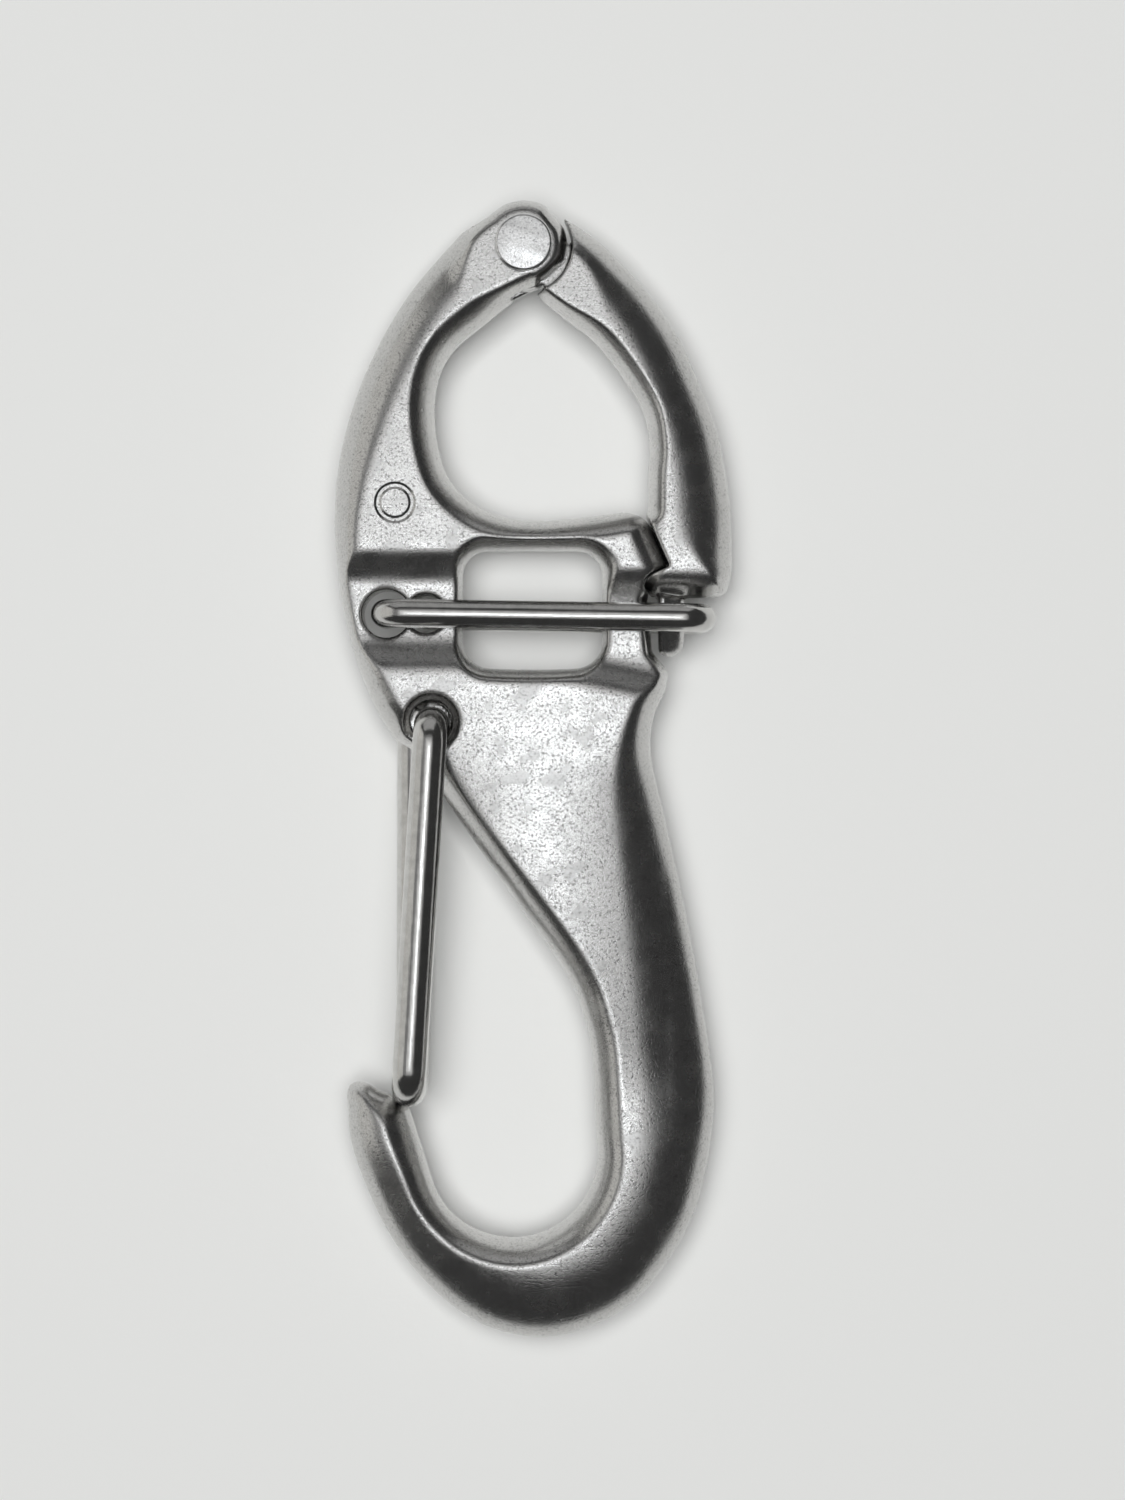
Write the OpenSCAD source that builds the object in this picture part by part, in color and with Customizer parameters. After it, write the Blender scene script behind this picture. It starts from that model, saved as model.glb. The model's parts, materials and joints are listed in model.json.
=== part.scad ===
// Forged snap shackle with an opening arm at one end and a wire gate hook at the other.
// It lies flat: +Y runs up the bow, +Z is the thickness, z = 0 is the surface it lies on.
// Outlines are drawn from the latch line, where the latch bail crosses the body.

/* [Bow] */
// Height of the rivet axis above the latch line
bow_h = 38.8; // [34:0.1:47]
// Width of the bow across both limbs
bow_w = 42; // [35:0.5:50.5]
// Radius of the ear round the rivet
ear_r = 5.3; // [4.4:0.1:6.4]
// Gap left between the arm and the body where they meet
meet_gap = 0.25; // [0.15:0.05:0.4]
// How far the rivet sits left of the middle
pivot_shift = 1; // [0:0.25:2]

/* [Body] */
// Thickness of the forging
body_t = 10; // [8:0.5:13]
// Depth of each step that rounds the forging's edges
edge_step = 1; // [0.6:0.1:1.3]
// Width of the window below the bow
win_w = 14.8; // [12.4:0.2:17]
// Height of the window
win_h = 12.2; // [10:0.2:14]
// Corner radius of the window
win_r = 2.7; // [2:0.1:4]
// Depth of the band cut into each face for the latch bail
band_depth = 1.3; // [0.8:0.1:2]

/* [Hook] */
// Distance from the latch line down to the centre of the hook seat
hook_drop = 57; // [46:0.5:70]
// Radius of the hook seat
seat_r = 9; // [7.5:0.1:11]
// Width of the hook's section beside the seat
hook_w = 11.4; // [9.5:0.1:13.8]
// Narrowest width of the shank, below the window
waist_x = 12.4; // [11.5:0.1:13.5]

/* [Rivet] */
// Diameter of the rivet's shank
rivet_d = 4; // [3.2:0.1:4.8]
// Diameter of each peened head
head_d = 6; // [5.2:0.1:7.2]
// Height of each peened head
head_h = 1.2; // [0.8:0.1:1.6]
// Thickness of the arm's tang between the ears
tang_t = 4; // [3:0.1:4.8]
// Running clearance round the rivet and beside the tang
run_gap = 0.06; // [0.03:0.01:0.1]

/* [Latch bail] */
// Wire diameter of the latch bail
bail_d = 3; // [2.4:0.1:3.4]
// Distance between the bail's two legs
bail_pitch = 4.3; // [4:0.1:4.6]
// How far the bail is pressed down to free the arm, in degrees
bail_swing = 12; // [11:0.5:13]
// Thickness of the arm's tongue inside the bail
tongue_t = 5.6; // [4:0.1:6.4]
// Width of the arm's tongue
tongue_w = 2.7; // [2.2:0.1:3.2]

/* [Wire gate] */
// Wire diameter of the gate
gate_d = 3.6; // [3:0.1:4]
// Distance between the gate's two legs
gate_pitch = 2.2; // [1.6:0.1:2.6]
// How far the gate opens, in degrees
gate_swing = 26; // [16:1:26]
// Gap between the gate's sides and the faces of the body
gate_gap = 0.25; // [0.15:0.05:0.4]

/* [Hidden] */
$fn = 48;

half_t = body_t / 2;
bail_r = bail_d / 2;
gate_r = gate_d / 2;
rivet_r = rivet_d / 2;
over = 1;

// Height of the middle plane: the gate's lower side touches z = 0.
mid_z = half_t + gate_gap + gate_d;

// Bow, measured from the latch line.
half_w = bow_w / 2;
pivot = [-pivot_shift, bow_h];
shoulder_r = ear_r + meet_gap;
nose = [0.675 * half_w, 5];
arm_bottom = bail_r + 0.3;

// Latch bail.
bail_floor = half_t - band_depth;
bail_z = bail_floor + 0.2 + bail_r;
bail_bend = 2.2;
bail_left = -half_w + 5.4;
bail_axis = [bail_left + bail_pitch / 2, 0];
hole_a_r = bail_r + 1.05;
hole_b_r = bail_r + 0.55;
tongue_left = nose.x - 1;
tongue_right = tongue_left + tongue_w;
tongue_tip = -4.5;
bail_right = tongue_right + 0.35 + bail_r;
bail_drop = 0.5;

// Hook and wire gate.
seat = [-2.2, -hook_drop];
seat_gap = gate_r + 0.25;
notch = seat + (seat_r + 3.9) * [cos(147.1), sin(147.1)];
gate_axis = [-11.8, -11.6];
gate_z = half_t + gate_gap + gate_r;
gate_bend = 2.4;
leg_hole_r = gate_r + 0.45;
cup_r = gate_r + 1.1;
cup_depth = 1.6;
leg_end = 0.6;

// Moves the latch line so that the middle of the length is at y = 0.
top_y = bow_h + ear_r;
low_y = -hook_drop - seat_r - 0.93 * hook_w;
shift_y = -(top_y + low_y) / 2;

function arc(c, r, a0, a1, n) = [for (i = [0:n]) c + r * [cos(a0 + (a1 - a0) * i / n), sin(a0 + (a1 - a0) * i / n)]];

// A smooth curve through points p with n steps between each pair.
function curve_at(a, b, c, d, t) =
    0.5 * (2 * b + (c - a) * t + (2 * a - 5 * b + 4 * c - d) * t * t + (3 * b - a - 3 * c + d) * t * t * t);
function curve(p, n) = [
    for (i = [0:len(p) - 2]) for (j = [0:n - 1])
        curve_at(p[max(i - 1, 0)], p[i], p[i + 1], p[min(i + 2, len(p) - 1)], j / n),
    p[len(p) - 1]
];

// A point of the bow: u is a share of the half width, v a share of the rivet's height.
function bow(u, v) = [u * half_w, v * bow_h];
// A point of the shank: x in mm, v a share of the hook's drop.
function shank(x, v) = [x, -v * hook_drop];
// A point round the hook: angle, and how far outside the seat as a share of the hook's width.
function round_hook(a, s) = seat + (seat_r + s * hook_w) * [cos(a), sin(a)];

limb_outer = [
    bow(-0.367, 1.033), bow(-0.648, 0.854), bow(-0.862, 0.636), bow(-0.981, 0.41),
    bow(-1, 0.18), [-0.924 * half_w, -2.7], [-0.79 * half_w, -10.2]
];
hook_inner = [shank(-9, 0.374), shank(2.6, 0.642), shank(5.7, 0.768), shank(6.4, 0.858)];
hook_tip = [
    round_hook(157.5, 0.24), round_hook(152.7, 0.43), round_hook(150.6, 0.62), round_hook(151.1, 0.73),
    round_hook(154.4, 0.83), round_hook(159.3, 0.85), round_hook(164.7, 0.8)
];
hook_outer = [
    round_hook(175.7, 0.72), round_hook(190.4, 0.62), round_hook(207.4, 0.58), round_hook(225.3, 0.61),
    round_hook(245.7, 0.72), round_hook(262.9, 0.85), round_hook(279, 0.95), round_hook(294, 0.98),
    round_hook(309.8, 0.99), round_hook(325.5, 0.97), round_hook(339, 0.98), round_hook(351.8, 1), round_hook(3.5, 1.05)
];
shank_outer = [
    shank(19.1, 0.904), shank(18.8, 0.832), shank(17.5, 0.684), shank(15.9, 0.535), shank(14, 0.386),
    [waist_x, -13]
];
post = [
    [waist_x + 0.5, -10.3], [tongue_left + 0.8, -8], [tongue_left + 1.1, -6.2], [tongue_left + 0.4, -5.2],
    [tongue_left - 0.6, -4], [tongue_left - 0.8, -2], [tongue_left - 1.2, 2], nose - [2.7, 1.7], nose - [2.7, 1]
];
crossbar = [
    nose, [0.605 * half_w, 8.4], bow(0.555, 0.277), bow(0.52, 0.286), bow(0.34, 0.269), bow(0.03, 0.254),
    bow(-0.17, 0.267), bow(-0.33, 0.31), bow(-0.44, 0.382), bow(-0.495, 0.505), bow(-0.485, 0.62),
    bow(-0.41, 0.71), bow(-0.23, 0.795), bow(-0.1, 0.85)
];

body_line = concat(
    arc(pivot, ear_r, -92, 135, 20),
    curve(limb_outer, 3),
    curve(hook_inner, 3),
    arc(seat, seat_r - 0.05, -10, -150, 18),
    curve(hook_tip, 2),
    curve(hook_outer, 2),
    curve(shank_outer, 2),
    curve(post, 1),
    [nose],
    curve([for (i = [1:len(crossbar) - 1]) crossbar[i]], 2)
);

arm_outer = [
    pivot + shoulder_r * [cos(32), sin(32)], bow(0.312, 1.018), bow(0.433, 0.959), bow(0.605, 0.854),
    bow(0.736, 0.746), bow(0.83, 0.636), bow(0.91, 0.528), bow(0.957, 0.42), bow(0.99, 0.31),
    bow(1, 0.2), [half_w, arm_bottom + 2]
];
arm_inner = [
    nose + [meet_gap - 2.4, 5.9], bow(0.576, 0.374), bow(0.586, 0.454), bow(0.557, 0.546), bow(0.457, 0.638),
    bow(0.31, 0.738), pivot + shoulder_r * [cos(-78), sin(-78)]
];
arm_toe = [
    [half_w - 2 + 2 * cos(45), arm_bottom + 2 - 2 * sin(45)], [half_w - 2, arm_bottom],
    [tongue_left + 0.2, arm_bottom], [tongue_left - 0.8, arm_bottom + 0.4],
    nose + [-2.3, -1.4], nose + [0.28, -0.13]
];
arm_line = concat(
    curve(arm_outer, 2),
    arm_toe,
    curve(arm_inner, 3),
    arc(pivot, shoulder_r, -72, 26, 9)
);

// Stands an outline up as a thick plate whose edges step back towards both faces.
module forged(t) {
    bands = [[0, 1], [edge_step * 1.1, 0.65], [edge_step * 2.1, 0.3], [edge_step * 3, 0]];
    for (i = [0:len(bands) - 1]) {
        inset = i == len(bands) - 1 ? 0 : edge_step * 1.7 * bands[i][1] * bands[i][1];
        z0 = -t / 2 + bands[i][0];
        z1 = i == len(bands) - 1 ? t / 2 - bands[i][0] : -t / 2 + bands[i + 1][0];
        translate([0, 0, z0]) linear_extrude(z1 - z0) offset(delta = -inset) children();
        if (i < len(bands) - 1)
            translate([0, 0, -z1]) linear_extrude(z1 - z0) offset(delta = -inset) children();
    }
}

// A round bar along Z from z0 to z1.
module bar(p, r, z0, z1) {
    translate([p.x, p.y, z0]) cylinder(r = r, h = z1 - z0);
}

// The band in one face that the bail lies in: a flat floor with a sloped upper wall, widened below along the
// way that the bail is pressed.
module bail_band() {
    down = 2.7;
    reach = 3 * half_w;
    along = [cos(bail_swing), -sin(bail_swing)];
    aside = [-sin(bail_swing), -cos(bail_swing)];
    wall = [[-down, bail_floor], [3.5, bail_floor], [6.3, half_t + 0.1], [6.3, half_t + over], [-down, half_t + over]];
    translate([-half_w - over, 0, 0]) rotate([90, 0, 90]) linear_extrude(reach) polygon(wall);
    translate([0, 0, bail_floor]) linear_extrude(band_depth + over) polygon([
        bail_axis, bail_axis + [reach, 0], bail_axis + reach * along + down * aside, bail_axis + down * aside
    ]);
}

module window_line() {
    offset(r = win_r) offset(delta = -win_r) translate([-0.1, 0.6]) square([win_w, win_h], center = true);
}

module body() {
    leg_turn = gate_swing / 2;
    color("silver") translate([0, shift_y, mid_z]) difference() {
        forged(body_t) polygon(body_line);
        bar(seat, seat_r, -body_t, body_t);
        translate([0, 0, -body_t]) linear_extrude(2 * body_t) window_line();
        bail_band();
        mirror([0, 0, 1]) bail_band();
        // Fork slot, ear bores and the bail's two holes.
        bar(pivot, ear_r + 0.4, -tang_t / 2 - 2 * run_gap, tang_t / 2 + 2 * run_gap);
        bar(pivot, rivet_r + 0.01, -body_t, body_t);
        bar([bail_left + 0.1, 0], hole_a_r, -body_t, body_t);
        bar([bail_left + bail_pitch, 0], hole_b_r, -body_t, body_t);
        // Each gate leg has a cup in its own face and a hole down to the middle.
        for (s = [1, -1]) {
            leg = gate_axis + s * gate_pitch / 2 * [cos(leg_turn), sin(leg_turn)];
            bar(leg, leg_hole_r, s > 0 ? -0.1 : -body_t, s > 0 ? body_t : 0.1);
            bar(leg, cup_r, s > 0 ? half_t - cup_depth : -body_t, s > 0 ? body_t : cup_depth - half_t);
        }
        bar(notch, seat_gap, -body_t, body_t);
    }
}

module opening_arm() {
    color("silver") translate([0, shift_y, mid_z]) difference() {
        union() {
            forged(body_t) polygon(arm_line);
            // Tang between the ears.
            translate([0, 0, -tang_t / 2]) linear_extrude(tang_t)
                polygon(concat([pivot], arc(pivot, shoulder_r + 1.2, -64, 4, 8)));
            bar(pivot, ear_r - 0.1, -tang_t / 2, tang_t / 2);
            // Tongue held by the bail.
            translate([0, 0, -tongue_t / 2]) linear_extrude(tongue_t) polygon([
                [tongue_left, arm_bottom + 1.2], [tongue_left, tongue_tip + 1.2],
                [tongue_left + 0.5, tongue_tip + 0.2], [tongue_left + 1.1, tongue_tip],
                [tongue_right - 0.6, tongue_tip + 0.3], [tongue_right, tongue_tip + 1.6],
                [tongue_right, arm_bottom + 1.2]
            ]);
        }
        bar(pivot, rivet_r + run_gap, -body_t, body_t);
    }
}

// One end of the rivet: half its shank and a head with an upright rim and a low crown.
module rivet_half() {
    rim_h = 0.6 * head_h;
    crown_h = head_h - rim_h;
    crown_r = (head_d * head_d / 4 + crown_h * crown_h) / (2 * crown_h);
    rotate_extrude() difference() {
        union() {
            square([rivet_r, half_t + rim_h]);
            translate([0, half_t + 0.02]) square([head_d / 2, rim_h - 0.02]);
            intersection() {
                translate([0, half_t + head_h - crown_r]) circle(crown_r, $fn = 96);
                translate([0, half_t + rim_h - 0.01]) square([head_d / 2, head_h]);
            }
        }
        translate([-2 * head_d, -1]) square([2 * head_d, 4 * half_t]);
    }
}

module pivot_rivet() {
    color("gainsboro") translate([pivot.x, pivot.y + shift_y, mid_z]) {
        rivet_half();
        mirror([0, 0, 1]) rivet_half();
    }
}

// One side of a wire loop: a leg down into its hole, a bend, a straight side and the bend to its end.
// from is the leg's place, to the end's place, z the height of the side.
module wire_side(from, to, z, r, bend, leg_z) {
    run = to - from;
    turn = atan2(run.y, run.x);
    len = norm(run);
    translate([from.x, from.y, 0]) rotate([0, 0, turn]) {
        translate([0, 0, leg_z]) cylinder(r = r, h = z - bend - leg_z);
        translate([bend, 0, z - bend]) rotate([90, 0, 0]) rotate_extrude(angle = 90, start = 90)
            translate([bend, 0]) circle(r);
        translate([bend, 0, z]) rotate([0, 90, 0]) cylinder(r = r, h = len - 2 * bend);
        translate([len - bend, 0, z - bend]) rotate([90, 0, 0]) rotate_extrude(angle = 90)
            translate([bend, 0]) circle(r);
        translate([len, 0, 0.2]) cylinder(r = r, h = z - bend - 0.2);
    }
}

// The end of a wire loop: a straight length round which both sides close.
module wire_end(at, z, r, bend) {
    reach = z - bend - 0.5;
    bar(at, r + 0.02, -reach, reach);
}

module latch_bail() {
    end = [bail_right, -bail_drop];
    color("lightsteelblue") translate([0, shift_y, mid_z]) {
        wire_side([bail_left, 0], end, bail_z, bail_r, bail_bend, -1.5);
        mirror([0, 0, 1]) wire_side([bail_left + bail_pitch, 0], end, bail_z, bail_r, bail_bend, -1.5);
        wire_end(end, bail_z, bail_r, bail_bend);
    }
}

module hook_gate() {
    near = gate_axis + [gate_pitch / 2, 0];
    far = gate_axis - [gate_pitch / 2, 0];
    color("lightsteelblue") translate([0, shift_y, mid_z]) {
        wire_side(near, notch, gate_z, gate_r, gate_bend, leg_end);
        mirror([0, 0, 1]) wire_side(far, notch, gate_z, gate_r, gate_bend, leg_end);
        wire_end(notch, gate_z, gate_r, gate_bend);
    }
}

body();
opening_arm();
pivot_rivet();
latch_bail();
hook_gate();
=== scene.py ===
"""Forged snap shackle with a wire gate hook: fine meshes and finishes round the CAD frame."""
import json
import math

import bpy
import numpy as np
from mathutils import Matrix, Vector


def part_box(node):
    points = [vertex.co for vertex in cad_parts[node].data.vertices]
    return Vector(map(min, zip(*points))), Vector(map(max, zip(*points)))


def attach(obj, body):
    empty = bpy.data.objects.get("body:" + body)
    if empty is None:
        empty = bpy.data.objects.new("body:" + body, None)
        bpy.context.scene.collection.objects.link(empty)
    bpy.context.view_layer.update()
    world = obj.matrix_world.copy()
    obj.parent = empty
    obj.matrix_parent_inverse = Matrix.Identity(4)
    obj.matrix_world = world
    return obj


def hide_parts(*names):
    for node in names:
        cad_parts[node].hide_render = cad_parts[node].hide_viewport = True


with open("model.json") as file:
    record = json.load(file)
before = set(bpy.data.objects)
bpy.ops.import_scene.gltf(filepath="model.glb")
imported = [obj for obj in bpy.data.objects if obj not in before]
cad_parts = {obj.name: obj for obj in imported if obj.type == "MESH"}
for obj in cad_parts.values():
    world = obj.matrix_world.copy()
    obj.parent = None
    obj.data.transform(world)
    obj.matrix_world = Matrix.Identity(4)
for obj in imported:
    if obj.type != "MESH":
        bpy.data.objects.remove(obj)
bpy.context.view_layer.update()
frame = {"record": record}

# ---------------------------------------------------------------------------------------------
# Places, in millimetres from the latch line (the bail's pivot) and the middle plane of the part.
# ---------------------------------------------------------------------------------------------
record = frame["record"]
joints = {j["name"]: j for j in record["behaviour"]["joints"]}
mounts = {m["name"]: m for m in record["mounts"]}
MM = 0.001
LATCH = np.array([0.0, joints["bail_press"]["pos_m"][1], joints["bail_press"]["pos_m"][2]])


def from_latch(point_m):
    """A point of the frame, in metres, as millimetres from the latch line."""
    return (np.array(point_m) - LATCH) / MM


PIVOT = from_latch(joints["arm_swing"]["pos_m"])[:2]
BAIL_AXIS = from_latch(joints["bail_press"]["pos_m"])[:2]
GATE_AXIS = from_latch(joints["gate_swing"]["pos_m"])[:2]
SEAT = from_latch(mounts["hook_seat"]["pos_m"])[:2]
SEAT_R = mounts["hook_seat"]["dims"]["r_mm"]
BODY_LOW, BODY_HIGH = (from_latch(corner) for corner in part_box("body"))
HALF_T = (BODY_HIGH[2] - BODY_LOW[2]) / 2
BAIL_LOW, BAIL_HIGH = (from_latch(corner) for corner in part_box("latch_bail"))
GATE_HIGH = from_latch(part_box("hook_gate")[1])
RIVET_LOW, RIVET_HIGH = (from_latch(corner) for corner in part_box("pivot_rivet"))

# Sizes that neither the frame's boxes nor its mounts give.
MEET_GAP = 0.25
EAR_GAP = 0.25
TIP_PLACE = (-17.6, -50)
STAMP_PLACE = (-14.5, 11.6)
GATE_PITCH = 2.2
# Radius of each wire's bends and the height that its legs start at, from the middle plane.
BAIL_BEND, BAIL_LEG = 2.2, -1.5
GATE_BEND, GATE_LEG = 2.4, 0.6
RIVET_R = 2.0
TANG_T = 4.0
TONGUE_T = 5.6

EAR_R = BODY_HIGH[1] - PIVOT[1]
SHOULDER_R = EAR_R - 0.05
BAIL_R = BAIL_HIGH[1]
BAIL_DROP = -BAIL_LOW[1] - BAIL_R - 0.02
BAIL_Z = BAIL_HIGH[2] - BAIL_R
BAIL_FLOOR = BAIL_Z - BAIL_R - 0.2
BAIL_LEFT = BAIL_LOW[0] + BAIL_R
BAIL_PITCH = 2 * (BAIL_AXIS[0] - BAIL_LEFT)
BAIL_END = BAIL_HIGH[0] - BAIL_R
GATE_R = (GATE_HIGH[2] - HALF_T - MEET_GAP) / 2 - 0.002
GATE_Z = GATE_HIGH[2] - GATE_R
NOTCH_TURN = math.radians(147.1)
NOTCH = SEAT + (SEAT_R + 3.9) * np.array([math.cos(NOTCH_TURN), math.sin(NOTCH_TURN)])
NOSE = np.array([14.2, 5.0])

# Cells of the grids that the two forgings are worked out on.
BODY_CELL = 0.32
ARM_CELL = 0.24


# ---------------------------------------------------------------------------------------------
# Outlines
# ---------------------------------------------------------------------------------------------
def curve(points, steps=8):
    """A smooth curve through points: on each span the cubic whose end slopes are half the chord between the
    neighbouring points, worked out for all spans at once."""
    p = np.asarray(points, float)
    t = (np.arange(steps) / steps)[None, :, None]
    padded = np.vstack([p[:1], p, p[-1:]])
    a, b, c, d = (padded[i:len(p) - 1 + i, None, :] for i in range(4))
    spans = 0.5 * (2 * b + (c - a) * t + (2 * a - 5 * b + 4 * c - d) * t**2 + (3 * b - a - 3 * c + d) * t**3)
    return np.vstack([spans.reshape(-1, 2), p[-1]])


def arc(centre, radius, start, end, steps=24):
    """Points at equal angles, in degrees, round a centre."""
    a = np.radians(np.linspace(start, end, steps + 1))
    return np.asarray(centre) + radius * np.column_stack([np.cos(a), np.sin(a)])


def round_hook(angle, out):
    """A point beside the hook seat: its angle in degrees and how far outside the seat it is."""
    a = math.radians(angle)
    return SEAT + (SEAT_R + out) * np.array([math.cos(a), math.sin(a)])


LIMB_OUTER = [
    (-7.7, 40.3), (-13.6, 33.3), (-18.1, 24.8), (-20.6, 16), (-20.95, 7), (-19.4, -2.7), (-16.6, -10.2)
]
TIP = [
    round_hook(a, out) for a, out in ((150.6, 7.1), (151.1, 8.3), (154.4, 9.45), (159.3, 9.7), (164.7, 9.1))
]
HOOK_OUTER = [
    round_hook(a, out) for a, out in (
        (175.7, 8.2), (190.4, 7.05), (207.4, 6.6), (225.3, 6.95), (245.7, 8.2), (262.9, 9.7), (279, 10.8),
        (294, 11.2), (309.8, 11.3), (325.5, 11.05), (339, 11.2), (351.8, 11.4), (3.5, 12.0))
]
SHANK_OUTER = [
    (19.1, -51.5), (18.8, -47.4), (17.5, -39), (15.9, -30.5), (14.0, -22), (12.6, -16), (12.4, -13),
    (12.9, -10.3)
]
POST = [(14.0, -8), (14.3, -6.2), (13.6, -5.2), (12.6, -4), (12.4, -2), (12.1, 1.2)]
NOSE_FLANK = [(14.2, 5.0), (12.7, 8.4), (11.75, 10.6), (10.9, 12.0)]
NOSE_UNDER = [(12.1, 2.2), (11.65, 2.9), (11.75, 3.6), (12.3, 4.2)]

BOW_INNER = [
    (22, 10.0), (11.2, 11.2), (7.1, 10.5), (0.6, 9.9), (-3.6, 10.4), (-6.9, 12.1), (-9.25, 14.9),
    (-10.4, 19.7), (-10.2, 24.2), (-8.6, 27.7), (-4.8, 31.0), (-2.1, 33.15), (-0.1, 34.2)
]
HOOK_INNER = [(-13.5, -15.4), (-9, -21.3), (2.6, -36.6), (5.7, -43.8), (6.4, -48.9)]
TIP_INNER = [round_hook(a, out) for a, out in ((157.5, 2.75), (152.7, 4.95), (150.6, 7.1))]

ARM_OUTER = [
    (1.0, 42.8), (3.45, 41.8), (6.6, 39.7), (9.1, 37.4), (12.7, 33.3), (15.45, 29.1), (17.4, 24.8),
    (19.1, 20.6), (20.1, 16.4), (20.75, 12.1), (20.98, 7.9), (20.98, 4.2)
]
ARM_BOTTOM = [(20.4, 2.4), (19.2, 1.8), (13.3, 1.8), (12.3, 2.0), (11.9, 2.6)]
ARM_INNER = [
    (12.0, 10.9), (12.1, 14.6), (12.3, 17.7), (11.7, 21.3), (9.6, 24.9), (6.5, 28.8), (3.2, 31.4),
    (0.2, 33.9)
]


def body_envelope():
    """The whole outer edge of the forging, closed straight across the bow and across the hook's mouth.
    Beside the arm it stands a little proud of the flank, which cuts it before it has turned fully down."""
    proud = np.array(NOSE_FLANK) + (0.5, 0.2)
    return np.vstack([
        arc(PIVOT, SHOULDER_R - EAR_GAP, -60, 25), arc(PIVOT, EAR_R - 0.1, 60, 135),
        curve(LIMB_OUTER), [(-12.6, -16.6), (-7, -30), (-7, -46.4), (-14, -47.7)],
        curve(TIP + HOOK_OUTER + SHANK_OUTER), POST, [(14.2, 3.2)], curve(proud, 4)
    ])


def arm_side():
    """The space on the arm's side of the line where the arm meets the body."""
    line = [curve(POST[-3:] + NOSE_UNDER, 4), curve(NOSE_FLANK, 4)]
    return np.vstack(line + [[(9.5, 14.5), (26, 14.5), (26, -4)]])


def bow_opening():
    """The open space of the bow, run out past the arm on its right side."""
    below_ear = arc(PIVOT, SHOULDER_R - EAR_GAP, -79, -40, 6)
    return np.vstack([curve(BOW_INNER[1:]), below_ear, [(22, 32), BOW_INNER[0]]])


def hook_opening():
    """The open space of the hook, run out past the gate on its left side."""
    return np.vstack([
        curve(HOOK_INNER), arc(SEAT, SEAT_R, 10, -160, 60), curve(TIP_INNER), [(-21, -44), (-24, -20)]
    ])


# ---------------------------------------------------------------------------------------------
# Solids as distance fields, in millimetres, below zero inside
# ---------------------------------------------------------------------------------------------
def edge_distance(x, y, outline):
    """Distance from each point to a closed outline, above zero inside it: the least distance to any of its
    straight pieces, with the sign from how often a ray to the right crosses it."""
    shape = np.broadcast(x, y).shape
    px, py = (np.broadcast_to(v, shape).ravel() for v in (x, y))
    a = np.asarray(outline, float)
    b = np.roll(a, -1, axis=0)
    d = b - a
    keep = (d**2).sum(1) > 1e-12
    a, b, d = a[keep], b[keep], d[keep]
    out = np.empty(px.size)
    for start in range(0, px.size, 40000):
        part = slice(start, start + 40000)
        ux = px[part, None] - a[:, 0]
        uy = py[part, None] - a[:, 1]
        along = np.clip((ux * d[:, 0] + uy * d[:, 1]) / (d**2).sum(1), 0, 1)
        gap = np.sqrt(((ux - along * d[:, 0])**2 + (uy - along * d[:, 1])**2).min(1))
        spans = (a[:, 1] > py[part, None]) != (b[:, 1] > py[part, None])
        slope = d[:, 0] / np.where(d[:, 1] == 0, 1e-9, d[:, 1])
        crossings = (spans & (ux < uy * slope)).sum(1)
        out[part] = np.where(crossings % 2 == 1, gap, -gap)
    return out.reshape(shape)


def both(a, b, fillet=0.3):
    """Where both fields are solid, with the edge between them rounded by the fillet."""
    return np.maximum(a, b) + np.maximum(fillet - np.abs(a - b), 0)**2 / (4 * fillet)


def either(a, b, fillet=0.3):
    """Where either field is solid, with the corner between them filled by the fillet."""
    return -both(-a, -b, fillet)


def cut(solid, tool, fillet=0.3):
    """The solid with the tool's space taken out of it."""
    return both(solid, -tool, fillet)


def cylinder(x, y, centre, radius):
    """A round bar along Z without ends: distance from its axis less its radius."""
    return np.hypot(x - centre[0], y - centre[1]) - radius


def rounded(distance, width):
    """Share of an edge's rounding that a point has left: 1 on the edge, 0 from its width inwards."""
    return np.clip(1 - distance / width, 0, None)


def smooth_step(value, low, high):
    """0 below low, 1 above high, and a cubic between them that starts and ends level."""
    t = np.clip((value - low) / (high - low), 0, 1)
    return t * t * (3 - 2 * t)


def by_height(y, knots):
    """A width that varies with y, through (y, width) knots, by a smooth curve."""
    line = curve(sorted(knots), 12)
    return np.interp(y, line[:, 0], line[:, 1])


def forged(z, half, edges, cell):
    """A forged plate: the sum over its edges of rounding**power, plus (z / half thickness)**1.85, is 1 on
    its skin, so each edge falls away over its own width, the sooner the lower its power. Dividing by the
    slope makes it a distance."""
    total = sum(rounded(distance, width)**power for distance, width, power in edges)
    field = total + np.abs(z / half)**1.85 - 1
    slope = np.sqrt(sum(g**2 for g in np.gradient(field, cell)))
    return np.clip(field / np.maximum(slope, 0.05), -2.5, 2.5)


def grid(low, high, cell):
    """Three open axes that cover a box, two cells past it each way, with a cell's middle on z = 0."""
    axes = [np.arange(math.floor(a / cell) - 2, math.ceil(b / cell) + 3) * cell for a, b in zip(low, high)]
    axes[2] = np.arange(-math.ceil(high[2] / cell) - 2, math.ceil(high[2] / cell) + 2) * cell + cell / 2
    return axes[0][:, None, None], axes[1][None, :, None], axes[2][None, None, :]


def sample(field, places):
    """Values of a gridded field at places given in cells, weighted from the eight corners round each."""
    base = np.clip(np.floor(places).astype(int), 0, np.array(field.shape[:3]) - 2)
    f = places - base
    total = 0
    for corner in np.ndindex(2, 2, 2):
        weight = np.prod(np.where(corner, f, 1 - f), axis=1)
        i, j, k = (base + corner).T
        values = field[i, j, k]
        total = total + (values * (weight[:, None] if values.ndim == 2 else weight))
    return total


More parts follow.
